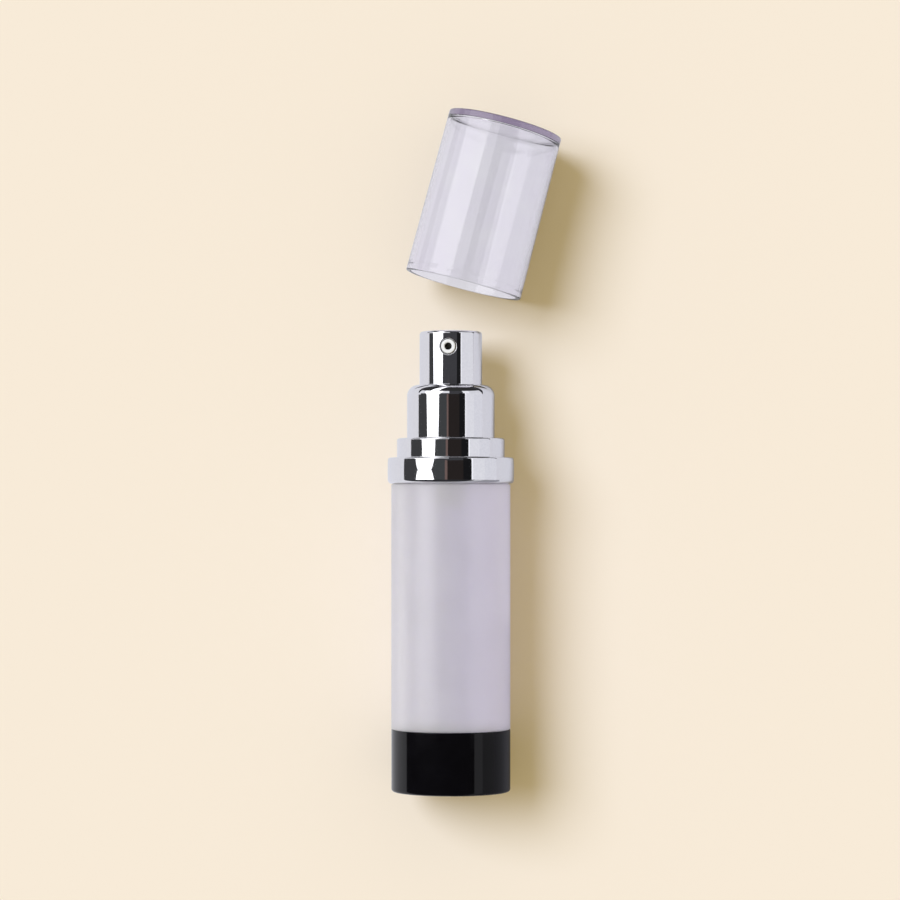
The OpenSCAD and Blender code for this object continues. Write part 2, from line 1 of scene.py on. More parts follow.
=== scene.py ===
# Dresses the airless pump bottle that lies flat with its cap off: finer turned shells over the CAD
# solids, a finish for every piece, then lights, floor and camera.
# Lengths in the dictionaries are in millimetres and angles in degrees. Meshes are made in metres.
import math
import bmesh
import bpy
import numpy as np
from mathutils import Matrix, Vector


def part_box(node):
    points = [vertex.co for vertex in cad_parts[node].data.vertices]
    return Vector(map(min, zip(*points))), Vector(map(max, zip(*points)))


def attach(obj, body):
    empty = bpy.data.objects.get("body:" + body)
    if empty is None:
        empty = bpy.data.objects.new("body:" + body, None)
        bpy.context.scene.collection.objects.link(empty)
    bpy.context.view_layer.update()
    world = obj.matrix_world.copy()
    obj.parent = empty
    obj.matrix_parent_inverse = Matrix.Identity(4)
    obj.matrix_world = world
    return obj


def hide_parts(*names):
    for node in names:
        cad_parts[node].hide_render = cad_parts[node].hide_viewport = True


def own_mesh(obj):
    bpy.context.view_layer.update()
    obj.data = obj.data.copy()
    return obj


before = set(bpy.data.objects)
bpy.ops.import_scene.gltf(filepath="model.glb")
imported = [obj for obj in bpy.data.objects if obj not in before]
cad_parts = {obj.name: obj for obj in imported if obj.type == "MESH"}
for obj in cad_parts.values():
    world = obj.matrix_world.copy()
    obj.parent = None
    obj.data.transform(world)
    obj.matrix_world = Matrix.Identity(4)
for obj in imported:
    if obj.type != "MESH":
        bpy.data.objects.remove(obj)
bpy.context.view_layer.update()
mm = 0.001
tau = 2 * math.pi
columns = 192  # facets round a turned piece
print("frame loaded:", len(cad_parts), "nodes")


# Surfaces on grids

longArc = dict(rowEvery=0.2, mostRows=10)


def outline(corners, closed=True, step=9):
    # A polygon in (radius, height), counter-clockwise round the material, with rounded corners.
    # Each arc's centre lies on the bisector of its corner, and its rows carry the arc's own normal.
    # A corner with no rounding gives two rows in one place, one for the normal of each side.
    # An arc gets a row every step degrees. One that is wide and turns little gets a row every
    # rowEvery millimetres instead, up to mostRows.
    count = len(corners)
    rows = []
    for i, (r, y, rounding) in enumerate(corners):
        here = np.array([r, y], float)
        into = here - np.array(corners[i - 1][:2], float)
        out = np.array(corners[(i + 1) % count][:2], float) - here
        into = into / np.linalg.norm(into)
        out = out / np.linalg.norm(out)
        normalIn = np.array([into[1], -into[0]])
        normalOut = np.array([out[1], -out[0]])
        if not closed and i == 0:
            rows.append([*here, *normalOut])
        elif not closed and i == count - 1:
            rows.append([*here, *normalIn])
        elif rounding == 0:
            rows += [[*here, *normalIn], [*here, *normalOut]]
        else:
            turn = math.atan2(into[0] * out[1] - into[1] * out[0], into @ out)
            reach = rounding * math.tan(abs(turn) / 2)
            side = math.copysign(1, turn)
            centre = here - into * reach - side * rounding * normalIn
            byTurn = round(abs(turn) / math.radians(step))
            byLength = round(rounding * abs(turn) / longArc["rowEvery"])
            parts = max(2, byTurn, min(longArc["mostRows"], byLength))
            angles = turn * np.linspace(0, 1, parts + 1)
            nr = normalIn[0] * np.cos(angles) - normalIn[1] * np.sin(angles)
            ny = normalIn[0] * np.sin(angles) + normalIn[1] * np.cos(angles)
            radii, heights = centre[0] + side * rounding * nr, centre[1] + side * rounding * ny
            rows += np.stack([radii, heights, nr, ny], 1).tolist()
    if closed:
        rows.append(rows[0])
    return np.array(rows)


def turned(rows, angles):
    # A surface of revolution about Y: (r sin a, y, r cos a), so that a = 0 looks up along +Z
    r, y, nr, ny = [column[:, None] for column in rows.T]
    s, c = np.sin(angles)[None], np.cos(angles)[None]
    points = np.stack([r * s, y + 0 * s, r * c], -1)
    normals = np.stack([nr * s, ny + 0 * s, nr * c], -1)
    return points, normals


def fullTurn(count):
    return np.linspace(0, tau, count + 1)


def aboutY(degrees):
    a = math.radians(degrees)
    return np.array([[math.cos(a), 0, math.sin(a)], [0, 1, 0], [-math.sin(a), 0, math.cos(a)]])


weldWithin = 2e-7  # metres, under which two points are one
leastArea = 5e-10  # square millimetres, under which a quad at a pole has collapsed


def welded(name, patches, place=None):
    # Grids of points and normals become one mesh: quads whose corners keep the grid's own normals,
    # turned so that they face along them, and welded where the grids meet. Place is a turn and a
    # shift. The cross product of a quad's diagonals is as long as twice its area.
    points, normals, faces, start = [], [], [], 0
    for p, n in patches:
        rows, across = p.shape[:2]
        index = start + np.arange(rows * across).reshape(rows, across)
        quads = np.stack([index[:-1, :-1], index[1:, :-1], index[1:, 1:], index[:-1, 1:]], -1)
        points.append(p.reshape(-1, 3))
        normals.append(n.reshape(-1, 3))
        faces.append(quads.reshape(-1, 4))
        start += rows * across
    points, normals, faces = np.concatenate(points), np.concatenate(normals), np.concatenate(faces)
    a, b, c, d = points[faces].transpose(1, 0, 2)
    facing = np.cross(c - a, d - b)
    backwards = (facing * normals[faces].mean(1)).sum(1) < 0
    faces[backwards] = faces[backwards][:, ::-1]
    faces = faces[np.linalg.norm(facing, axis=1) / 2 > leastArea]
    points = points * mm
    if place is not None:
        turn, shift = place
        points, normals = points @ turn.T + shift, normals @ turn.T
    mesh = bpy.data.meshes.new(name)
    mesh.from_pydata(points.tolist(), [], faces.tolist())
    # The normals ride through the weld as an attribute of the face corners
    kept = mesh.attributes.new("exactNormal", "FLOAT_VECTOR", "CORNER")
    kept.data.foreach_set("vector", normals[faces].reshape(-1).astype(np.float32))
    work = bmesh.new()
    work.from_mesh(mesh)
    bmesh.ops.remove_doubles(work, verts=work.verts, dist=weldWithin)
    work.to_mesh(mesh)
    work.free()
    exact = np.zeros(len(mesh.loops) * 3, np.float32)
    mesh.attributes["exactNormal"].data.foreach_get("vector", exact)
    mesh.attributes.remove(mesh.attributes["exactNormal"])
    mesh.shade_smooth()
    mesh.normals_split_custom_set(exact.reshape(-1, 3).tolist())
    piece = bpy.data.objects.new(name, mesh)
    bpy.context.scene.collection.objects.link(piece)
    return piece


def dress(piece, material, body, slot, *nodes):
    piece.data.materials.append(material)
    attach(piece, body)
    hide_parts(*nodes)
    return piece


def high(node, axis):
    # Where the box round a CAD solid ends along an axis, in millimetres. Low is where it starts.
    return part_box(node)[1][axis] / mm


def low(node, axis):
    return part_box(node)[0][axis] / mm


# Materials

def linear(hexColour):
    # sRGB to linear: a straight line near black, a power of 2.4 above it
    parts = [int(hexColour[i:i + 2], 16) / 255 for i in (1, 3, 5)]
    return tuple(c / 12.92 if c <= 0.04045 else ((c + 0.055) / 1.055) ** 2.4 for c in parts) + (1,)


def addNode(tree, kind, inputs, **settings):
    # One node with its settings. An input is a plain value, or the socket or node that it is linked
    # to. A node gives its first output in use. A Mix node's colours are its inputs 6 and 7.
    node = tree.nodes.new("ShaderNode" + kind)
    for name, value in settings.items():
        setattr(node, name, value)
    for name, value in inputs.items():
        socket = node.inputs[name]
        if isinstance(value, bpy.types.Node):
            value = next(output for output in value.outputs if output.enabled)
        if isinstance(value, bpy.types.NodeSocket):
            tree.links.new(value, socket)
        else:
            socket.default_value = (*value[:3], 1) if socket.type == "RGBA" else value
    return node


def emptyTree(owner):
    owner.use_nodes = True
    owner.node_tree.nodes.clear()
    return owner.node_tree


def newMaterial(name, **constants):
    material = bpy.data.materials.new(name)
    tree = emptyTree(material)
    inputs = {key.replace("_", " "): value for key, value in constants.items()}
    shader = addNode(tree, "BsdfPrincipled", inputs)
    addNode(tree, "OutputMaterial", {"Surface": shader})
    where = addNode(tree, "TexCoord", {}).outputs["Object"]
    return material, tree, shader, where


# Most of a noise lies round its middle. These are its values where a colour's or a roughness's run
# starts and ends.
marking = dict(colourRun=(0.35, 0.65), roughRun=(0.3, 0.7), fineness=0.55)


def marked(tree, shader, where, size, detail=3.0, colours=None, rough=None, depth=None):
    # Noise with features of about size millimetres. It may run the colour from one hex value to
    # another, run the roughness between two values, and raise the skin by a depth in millimetres.
    marks = addNode(tree, "TexNoise", {"Vector": where, "Scale": 1 / (size * mm), "Detail": detail,
                                       "Roughness": marking["fineness"]})
    if colours:
        ramp = addNode(tree, "ValToRGB", {0: marks})
        stops = ramp.color_ramp.elements
        for stop, position, colour in zip(stops, marking["colourRun"], colours):
            stop.position = position
            stop.color = linear(colour)
        tree.links.new(ramp.outputs[0], shader.inputs["Base Color"])
    if rough:
        start, end = marking["roughRun"]
        run = addNode(tree, "MapRange", {"Value": marks, "From Min": start, "From Max": end,
                                         "To Min": rough[0], "To Max": rough[1]})
        tree.links.new(run.outputs[0], shader.inputs["Roughness"])
    if depth:
        bump = addNode(tree, "Bump", {"Height": marks, "Strength": 1.0, "Distance": depth * mm})
        tree.links.new(bump.outputs[0], shader.inputs["Normal"])


def frostedSan(inside=12.3, skin=13.0, clear=0.45, polished=0.03):
    # Styrene acrylonitrile, moulded clear and then etched outside. Light goes in and spreads in the
    # wall, so the barrel is pale lavender and soft, with a broad dull shine and only blurred shapes
    # behind it. The bore stays clear, and as smooth as it came from the mould: up to the radius
    # inside it is all clear, and from the radius skin outwards it is etched.
    material, tree, shader, where = newMaterial(
        "frostedSan", IOR=1.57, Specular_IOR_Level=1.0, Subsurface_Weight=1.0,
        Subsurface_Radius=(1, 1, 1), Subsurface_Scale=4 * mm)
    marked(tree, shader, where, 14.0, 2.0, colours=("#DFDCE2", "#E3E0E6"))
    marked(tree, shader, where, 0.35, rough=(0.28, 0.38), depth=0.006)
    flat = addNode(tree, "VectorMath", {0: where, 1: (1, 0, 1)}, operation="MULTIPLY")
    radius = addNode(tree, "VectorMath", {0: flat}, operation="LENGTH")
    limits = {"Value": radius, "From Min": inside * mm, "From Max": skin * mm}
    through = addNode(tree, "MapRange", {**limits, "To Min": 1.0, "To Max": clear})
    tree.links.new(through.outputs[0], shader.inputs["Transmission Weight"])
    etched = shader.inputs["Roughness"].links[0].from_socket
    polish = addNode(tree, "MapRange", {**limits, "To Min": polished, "To Max": etched})
    tree.links.new(polish.outputs[0], shader.inputs["Roughness"])
    return material


def clearSan(toner=(0.67, 0.60, 0.71), density=100.0):
    # The same plastic, polished in the mould and left clear. Its faint violet toner shows where
    # light runs a long way through it, as in the thick rim of the top.
    material, tree, shader, where = newMaterial("clearSan", IOR=1.57, Transmission_Weight=1.0)
    marked(tree, shader, where, 9.0, 2.0, ("#FCFBFE", "#FEFEFF"), (0.01, 0.04), 0.008)
    tinted = addNode(tree, "VolumeAbsorption", {"Color": toner, "Density": density})
    output = next(node for node in tree.nodes if node.type == "OUTPUT_MATERIAL")
    tree.links.new(tinted.outputs[0], output.inputs["Volume"])
    return material


def blackSan():
    # Black plastic from a polished mould: deep, with a sharp weak mirror and a trace of handling
    material, tree, shader, where = newMaterial("blackSan", IOR=1.43)
    marked(tree, shader, where, 6.0, 4.0, ("#070608", "#0A090C"), (0.05, 0.11), 0.004)
    return material


def metallisedAbs():
    # Moulded plastic with aluminium laid on in a vacuum under clear lacquer: a true mirror, with
    # fine hazy marks, and a little uneven where the plastic flowed
    material, tree, shader, where = newMaterial("metallisedAbs", Metallic=1.0)
    marked(tree, shader, where, 0.6, 4.0, colours=("#F0F0F4", "#F5F5F8"), rough=(0.03, 0.06))
    marked(tree, shader, where, 5.0, 2.0, depth=0.004)
    return material


def mouldedPlastic(name, colours, rough, grain, depth, soft=0.0):
    # Moulded polypropylene or polyethylene: a satin skin with a fine mould grain
    material, tree, shader, where = newMaterial(name, IOR=1.49, Subsurface_Weight=soft,
                                                Subsurface_Radius=(1, 1, 1), Subsurface_Scale=mm)
    marked(tree, shader, where, grain, colours=colours, rough=rough, depth=depth)
    return material


def nozzlePlastic(shadeFrom, shadeTo, turn, paintedShade="#100F10"):
    # White polypropylene, as satin as the rest. Its bore is painted dark between two heights over
    # the bottle's axis: painted shade, for the little light that comes out of so narrow a hole.
    material, tree, shader, where = newMaterial("nozzlePolypropylene", IOR=1.49)
    marked(tree, shader, where, 0.5, 3.0, ("#EDEDEC", "#F5F5F4"), (0.3, 0.42), 0.004)
    axis = (math.sin(math.radians(turn)), 0, math.cos(math.radians(turn)))
    height = addNode(tree, "VectorMath", {0: where, 1: axis}, operation="DOT_PRODUCT")
    # Mask of the painted shade: the base colour runs to the dark colour down the bore
    rim = addNode(tree, "MapRange", {"Value": height, "From Min": shadeFrom * mm,
                                     "From Max": shadeTo * mm})
    white = shader.inputs["Base Color"].links[0].from_socket
    shade = addNode(tree, "Mix", {0: rim, 6: linear(paintedShade), 7: white}, data_type="RGBA")
    tree.links.new(shade.outputs[2], shader.inputs["Base Color"])
    return material


def brightSteel(name, rough, stretch):
    # Stainless steel, with marks drawn out by the die, or even ones from lapping
    material, tree, shader, where = newMaterial(name, Metallic=1.0)
    drawn = addNode(tree, "Mapping", {"Vector": where, "Scale": (1, stretch, 1)}).outputs[0]
    marked(tree, shader, drawn, 0.3, 4.0, ("#C4C5C9", "#D6D7DA"), rough, 0.003)
    return material


materials = {
    "frosted_san": frostedSan(),
    "clear_san": clearSan(),
    "black_san": blackSan(),
    "metallised_abs": metallisedAbs(),
    "white_pp": mouldedPlastic("whitePolypropylene", ("#EBEBEA", "#F3F3F2"), (0.29, 0.41), 0.5,
                               0.004),
    "natural_pp": mouldedPlastic("naturalPolypropylene", ("#9A9A9F", "#A6A6AB"), (0.33, 0.45), 0.6,
                                 0.005),
    "natural_pe": mouldedPlastic("naturalPolyethylene", ("#E6E6E8", "#EFEFF0"), (0.37, 0.49), 0.7,
                                 0.006, soft=0.3),
    "gasket_pe": mouldedPlastic("foamedPolyethylene", ("#CDD2D6", "#DDE1E4"), (0.55, 0.67), 0.25,
                                0.02, soft=0.2),
    "steel_ball": brightSteel("lappedSteel", (0.08, 0.2), 1),
    "spring_wire": brightSteel("drawnSpringSteel", (0.2, 0.32), 6),
}
print("materials made:", len(materials))

# Base cup. In this and the other turned pieces a name that ends in Y is a height along the bottle,
# and one that ends in Round is the rounding of an edge. The others are radii and thicknesses.

baseCup = dict(wall=1.25, floor=1.5, vent=1.0, pad=4.0, recess=0.4, foot=1.0, edgeRound=0.12,
               recessRound=0.1, footRound=0.7, rimRound=0.2, floorRound=0.2)


def makeBaseCup(size):
    out, top = high("base_cup", 0), high("base_cup", 1)
    bore = out - size["wall"]
    recessOut = bore - size["foot"]
    edge, inner = size["edgeRound"], size["recessRound"]
    rows = outline([
        (size["vent"], 0, edge), (size["pad"], 0, edge), (size["pad"], size["recess"], inner),
        (recessOut, size["recess"], inner), (recessOut, 0, edge), (out, 0, size["footRound"]),
        (out, top, size["rimRound"]), (bore, top, 0), (bore, size["floor"], size["floorRound"]),
        (size["vent"], size["floor"], inner)
    ])
    return welded("blackBaseCup", [turned(rows, fullTurn(columns))])


dress(makeBaseCup(baseCup), materials["black_san"], "bottle", "black_san", "base_cup")

# Frosted barrel, with the shoulder, centring rim, neck and snap bead that the collar hides

barrel = dict(chamber=12.0, spigot=13.2, seat=14.1, seatY=74.8, shoulderY=80.2, ceilingY=78.0,
              rim=11.95, rimWall=1.1, rimY=83.4, neck=7.7, neckBore=5.8, bead=0.45, beadY=87.0,
              beadRise=0.1, beadFlat=0.4, beadFall=0.9, beadRound=0.1, chamberRound=0.3,
              edgeRound=0.2, seatRound=0.15, shoulderRound=0.8, neckRound=0.4, ceilingRound=0.3)


def makeBarrel(size):
    bottom, top = low("bottle_body", 1), high("bottle_body", 1)
    out, seam = high("bottle_body", 0), high("base_cup", 1)
    edge, seat, neck = size["edgeRound"], size["seat"], size["neck"]
    rimIn = size["rim"] - size["rimWall"]
    beadOut, beadLow = neck + size["bead"], size["beadY"] + size["beadRise"]
    beadHigh = beadLow + size["beadFlat"]
    rows = outline([
        (size["chamber"], bottom, size["chamberRound"]), (size["spigot"], bottom, edge),
        (size["spigot"], seam, 0), (out, seam, edge), (out, size["seatY"], size["seatRound"]),
        (seat, size["seatY"], 0), (seat, size["shoulderY"], size["shoulderRound"]),
        (size["rim"], size["shoulderY"], 0), (size["rim"], size["rimY"], edge),
        (rimIn, size["rimY"], edge), (rimIn, size["shoulderY"], 0), (neck, size["shoulderY"], 0),
        (neck, size["beadY"], 0), (beadOut, beadLow, size["beadRound"]),
        (beadOut, beadHigh, size["beadRound"]), (neck, beadHigh + size["beadFall"], 0),
        (neck, top, size["neckRound"]), (size["neckBore"], top, 0),
        (size["neckBore"], size["ceilingY"], size["ceilingRound"]),
        (size["chamber"], size["ceilingY"], 0)
    ])
    return welded("frostedBarrel", [turned(rows, fullTurn(columns))])


barrelPiece = dress(makeBarrel(barrel), materials["frosted_san"], "bottle", "frosted_san",
                    "bottle_body")

# Bright collar in three steps. The widest bulges a little in the middle, which narrows the screen
# that it mirrors there to a waist.

collar = dict(ringBore=14.15, ringTopY=81.3, tier2=13.1, tier2Y=86.0, tier1=10.65, wall=1.1,
              shoulderY=80.2, hole=7.85, bulge=0.15, bulgeRound=50, edgeRound=0.5, lowRound=0.9,
              crownRound=2.6, footRound=0.12, boreRound=0.1, holeRound=0.2, crownInRound=0.9,
              flatInRound=0.2)


def makeCollar(size):
    out, top = high("shoulder_sleeve", 0), high("shoulder_sleeve", 1)
    bottom = low("shoulder_sleeve", 1)
    ringY, tier2Y, tier2, tier1 = size["ringTopY"], size["tier2Y"], size["tier2"], size["tier1"]
    wall, edge, foot = size["wall"], size["edgeRound"], size["footRound"]
    ringEdge = out - size["bulge"]
    rows = outline([
        (size["ringBore"], bottom, size["boreRound"]), (ringEdge, bottom, size["lowRound"]),
        (out, (bottom + ringY) / 2, size["bulgeRound"]), (ringEdge, ringY, edge),
        (tier2, ringY, foot), (tier2, tier2Y, edge), (tier1, tier2Y, foot),
        (tier1, top, size["crownRound"]), (size["hole"], top, size["holeRound"]),
        (size["hole"], top - wall, size["boreRound"]),
        (tier1 - wall, top - wall, size["crownInRound"]), (tier1 - wall, tier2Y - wall, 0),
        (tier2 - wall, tier2Y - wall, size["flatInRound"]), (tier2 - wall, size["shoulderY"], 0),
        (size["ringBore"], size["shoulderY"], size["flatInRound"])
    ], step=6)
    return welded("brightCollar", [turned(rows, fullTurn(2 * columns))])


dress(makeCollar(collar), materials["metallised_abs"], "bottle", "metallised_abs",
      "shoulder_sleeve")

# Push button, with a round hole for the nozzle. The hole lies in a window of the wall's grid, which
# reaches windowSteps facets round the wall and window millimetres along it, each way.

button = dict(radius=7.6, wall=0.95, roof=1.0, topRound=0.7, skirtRound=0.2, rimRound=0.1,
              roofRound=0.3, nozzleDrop=3.9, nozzleTurn=-5.0, hole=1.9, bevel=0.3, windowSteps=12,
              window=3.0, holeRings=7, bevelRings=7)


def holed(radius, hole, y, size, sign):
    # The wall round a hole: straight lines in (x, y) from the circle to the edge of the window,
    # laid on the cylinder by z = sqrt(radius squared - x squared)
    cells = size["windowSteps"]
    edge = np.linspace(-1, 1, 2 * cells + 1)[:-1]
    one = np.ones_like(edge)
    across = np.concatenate([edge, one, -edge, -one, edge[:1]])
    along = np.concatenate([-one, edge, one, -edge, -one[:1]])
    squareX = radius * np.sin(across * cells * tau / columns)
    squareY = along * size["window"]
    bearing = np.arctan2(squareY, squareX)
    share = np.linspace(0, 1, size["holeRings"])[:, None]
    x = (1 - share) * hole * np.cos(bearing) + share * squareX
    v = (1 - share) * hole * np.sin(bearing) + share * squareY
    z = np.sqrt(radius ** 2 - x ** 2)
    return np.stack([x, y + v, z], -1), sign * np.stack([x / radius, 0 * v, z / radius], -1)


def makeButton(size):
    bottom, top = low("button_shell", 1), high("button_shell", 1)
    out, bevel, hole, cells = size["radius"], size["bevel"], size["hole"], size["windowSteps"]
    bore, ceiling = out - size["wall"], top - size["roof"]
    y = top - size["nozzleDrop"]
    below, above = y - size["window"], y + size["window"]
    around = fullTurn(columns)
    skirt = outline([(bore, below, 0), (bore, bottom, size["rimRound"]),
                     (out, bottom, size["skirtRound"]), (out, below, 0)], closed=False)
    head = outline([(out, above, 0), (out, top, size["topRound"]), (0, top, 0)], closed=False,
                   step=5)
    roof = outline([(0, ceiling, 0), (bore, ceiling, size["roofRound"]), (bore, above, 0)],
                   closed=False)
    patches = [turned(rows, around) for rows in (skirt, head, roof)]
    # The band of wall that the window interrupts, outside and inside
    upright = np.linspace(below, above, 2 * cells + 1)
    flat = 0 * upright
    for radius, sign in ((out, 1), (bore, -1)):
        rows = np.stack([flat + radius, upright, flat + sign, flat], 1)
        patches.append(turned(rows, around[cells:columns - cells + 1]))
    outer = holed(out, hole + bevel, y, size, 1)
    inner = holed(bore, hole, y, size, -1)
    # Rounded edge of the hole: a quarter turn from the wall's own slope to the hole's side
    mouth, slope = outer[0][0], outer[1][0]
    toAxis = np.stack([-mouth[:, 0], y - mouth[:, 1], 0 * mouth[:, 2]], -1) / (hole + bevel)
    a = np.linspace(0, tau / 4, size["bevelRings"])[:, None, None]
    edge = mouth + bevel * (np.sin(a) * toAxis - (1 - np.cos(a)) * slope)
    edgeNormal = np.cos(a) * slope + np.sin(a) * toAxis
    side = np.stack([edge[-1], inner[0][0]])
    patches += [outer, inner, (edge, edgeNormal), (side, toAxis + 0 * side)]
    return welded("brightButton", patches, (aboutY(size["nozzleTurn"]), np.zeros(3)))


dress(makeButton(button), materials["metallised_abs"], "button", "metallised_abs", "button_shell")

# White nozzle ring. It is turned about its own axis, which looks up along +Z, so face, back and
# tail are heights over the bottle's axis.

nozzle = dict(ring=1.75, shank=1.35, bore=0.85, mouth=1.05, flare=0.2, face=7.5, back=6.7,
              tail=4.7, faceRound=0.3, mouthRound=0.12, flareRound=0.15, backRound=0.05,
              tailRound=0.1, darkBelow=0.15, darkAbove=0.05, facets=96)


def makeNozzle(size):
    face, back, tail = size["face"], size["back"], size["tail"]
    rows = outline([
        (size["bore"], tail, size["backRound"]), (size["shank"], tail, size["tailRound"]),
        (size["shank"], back, 0), (size["ring"], back, size["backRound"]),
        (size["ring"], face, size["faceRound"]), (size["mouth"], face, size["mouthRound"]),
        (size["bore"], face - size["flare"], size["flareRound"])
    ])
    upward = np.array([[1, 0, 0], [0, 0, -1], [0, 1, 0]])
    centre = np.array([0, high("button_shell", 1) - button["nozzleDrop"], 0]) * mm
    return welded("whiteNozzle", [turned(rows, fullTurn(size["facets"]))],
                  (aboutY(button["nozzleTurn"]) @ upward, centre))


flareY = nozzle["face"] - nozzle["flare"]
nozzleFinish = nozzlePlastic(flareY - nozzle["darkBelow"], flareY + nozzle["darkAbove"],
                             button["nozzleTurn"])
dress(makeNozzle(nozzle), nozzleFinish, "button", "white_pp", "nozzle_insert")

# Return spring, wound on a helix: its end turns lie close and the rest share the height

coil = dict(radius=4.9, wire=0.8, turns=5, endGap=0.45, stroke=4.5, stepsPerTurn=28, facets=16)


def makeCoil(size):
    wire, turns, radius = size["wire"], size["turns"], size["radius"]
    bottom = low("return_spring", 1) + wire / 2
    rise = high("return_spring", 1) - wire / 2 - bottom
    close = wire + size["endGap"]
    t = np.linspace(0, turns, size["stepsPerTurn"] * turns + 1)
    y = bottom + np.interp(t, [0, 1, turns - 1, turns], [0, close, rise - close, rise])
    a, b = tau * t[:, None], np.linspace(0, tau, size["facets"] + 1)[None]
    out, up = np.cos(b), np.sin(b)
    normals = np.stack([out * np.cos(a), up + 0 * a, -out * np.sin(a)], -1)
    centres = np.stack([radius * np.cos(a), y[:, None], -radius * np.sin(a)], -1)
    tube = centres + wire / 2 * normals
    patches = [(tube, normals)]
    for k, sign in ((0, -1), (-1, 1)):
        along = sign * np.array([-math.sin(tau * t[k]), 0, -math.cos(tau * t[k])])
        disc = np.stack([tube[k], centres[k] + 0 * tube[k]])
        patches.append((disc, along + 0 * disc))
    return welded("wireCoil", patches)


springPiece = dress(makeCoil(coil), materials["spring_wire"], "bottle", "spring_wire",
                    "return_spring")
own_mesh(springPiece)

# Clear cap, made upright from its rim and then laid beside the bottle. Draft is what its outside
# loses towards the top.

cap = dict(bore=13.3, wall=1.1, draft=0.35, length=40.5, top=1.4, bead=0.08, beadY=1.9,
           beadHalf=0.55, lean=14.8, rimX=3.0, rimY=123.45, ceilingRound=1.0, beadRound=0.6,
           beadFootRound=0.4, mouthInRound=0.35, mouthRound=0.4, topRound=0.35)


def makeCap(size):
    length, bore, beadY, half = size["length"], size["bore"], size["beadY"], size["beadHalf"]
    out, ceiling = bore + size["wall"], length - size["top"]
    rows = outline([
        (0, ceiling, 0), (bore, ceiling, size["ceilingRound"]),
        (bore, beadY + half, size["beadFootRound"]),
        (bore - size["bead"], beadY, size["beadRound"]),
        (bore, beadY - half, size["beadFootRound"]), (bore, 0, size["mouthInRound"]),
        (out, 0, size["mouthRound"]), (out - size["draft"], length, size["topRound"]),
        (0, length, 0)
    ], closed=False, step=6)
    a = math.radians(size["lean"])
    turn = np.array([[math.cos(a), math.sin(a), 0], [-math.sin(a), math.cos(a), 0], [0, 0, 1]])
    return welded("clearCap", [turned(rows, fullTurn(2 * columns))],
                  (turn, np.array([size["rimX"], size["rimY"], 0]) * mm))


dress(makeCap(cap), materials["clear_san"], "cap", "clear_san", "overcap")

# The pieces inside keep their CAD meshes, with a finish on each

inside = {
    "white_pp": ["snap_closure", "ball_cage", "stem_guide", "pump_stem", "outlet_rod",
                 "button_core"],
    "natural_pp": ["pump_housing"],
    "natural_pe": ["follower_piston", "pump_piston"],
    "gasket_pe": ["neck_gasket"],
    "steel_ball": ["inlet_ball"],
}
for slot, nodes in inside.items():
    for node in nodes:
        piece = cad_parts[node]
        piece.data.materials.clear()
        piece.data.materials.append(materials[slot])
print("pieces made and dressed")

# Lights: one large soft key from the upper left, and two weaker cards low on either side. The
# cards are linked to the barrel alone: its wall scatters what comes in from the side, while the
# floor and the metal would only grow too light. A share is what the lamp adds to the floor, or
# for a card to a surface that faces it squarely.

key = dict(name="keySun", towards=(0.68, -0.33, -1.0), share=(0.58, 0.625, 0.72), spread=34)
leftCard = dict(name="leftCard", towards=(0.97, 0, -0.26), share=(0.44, 0.42, 0.32), spread=30)
rightCard = dict(name="rightCard", towards=(-0.97, 0, -0.26), share=(0.74, 0.71, 0.84), spread=30)


def makeSun(settings, onlyOn=None):
    towards = Vector(settings["towards"]).normalized()
    strongest = max(settings["share"])
    lamp = bpy.data.lights.new(settings["name"], "SUN")
    lamp.energy = math.pi * strongest / (1 if onlyOn else -towards.z)
    lamp.color = [c / strongest for c in settings["share"]]
    lamp.angle = math.radians(settings["spread"])
    holder = bpy.data.objects.new(settings["name"], lamp)
    bpy.context.scene.collection.objects.link(holder)
    holder.rotation_euler = towards.to_track_quat("-Z", "Y").to_euler()
    holder.visible_glossy = holder.visible_transmission = False
    if onlyOn:
        lit = bpy.data.collections.new(settings["name"] + "Lit")
        lit.objects.link(onlyOn)
        holder.light_linking.receiver_collection = lit


makeSun(key)
makeSun(leftCard, barrelPiece)
makeSun(rightCard, barrelPiece)
print("lamps made: 3")

# Room: what the camera sees is beige, what metal and clear plastic see is a grey, and the rest is
# the weak warm light that fills the shadows

room = dict(fill=(0.42, 0.375, 0.28), mirrored=(0.68, 0.68, 0.71), beige="#F8EBD8")


def makeRoom(settings):
    world = bpy.data.worlds.new("softRoom")
    bpy.context.scene.world = world
    tree = emptyTree(world)
    path = addNode(tree, "LightPath", {}).outputs
    seen = addNode(tree, "Math", {0: path["Is Glossy Ray"], 1: path["Is Transmission Ray"]},
                   operation="MAXIMUM")
    direct = addNode(tree, "Math", {0: seen, 1: path["Diffuse Depth"]}, operation="GREATER_THAN")
    colour = settings["fill"]
    for factor, over in ((direct, settings["mirrored"]),
                         (path["Is Camera Ray"], linear(settings["beige"]))):
        colour = addNode(tree, "Mix", {0: factor, 6: colour, 7: over}, data_type="RGBA")
    background = addNode(tree, "Background", {"Color": colour})
    addNode(tree, "OutputWorld", {0: background})


makeRoom(room)

# Reflection tent: part of a cylinder round the bottle, which only metal and clear plastic see. It
# is cut into stretches along the bottle, each given by where it starts. A stretch has bands of
# light and shade round the tent, each given by the angle from overhead at which it starts, left
# to right. A white screen lies over them on the left. It is screenHalf degrees to each side where
# it is narrowest, beside the collar, and grows by screenGrowth times the root of the distance
# from there.

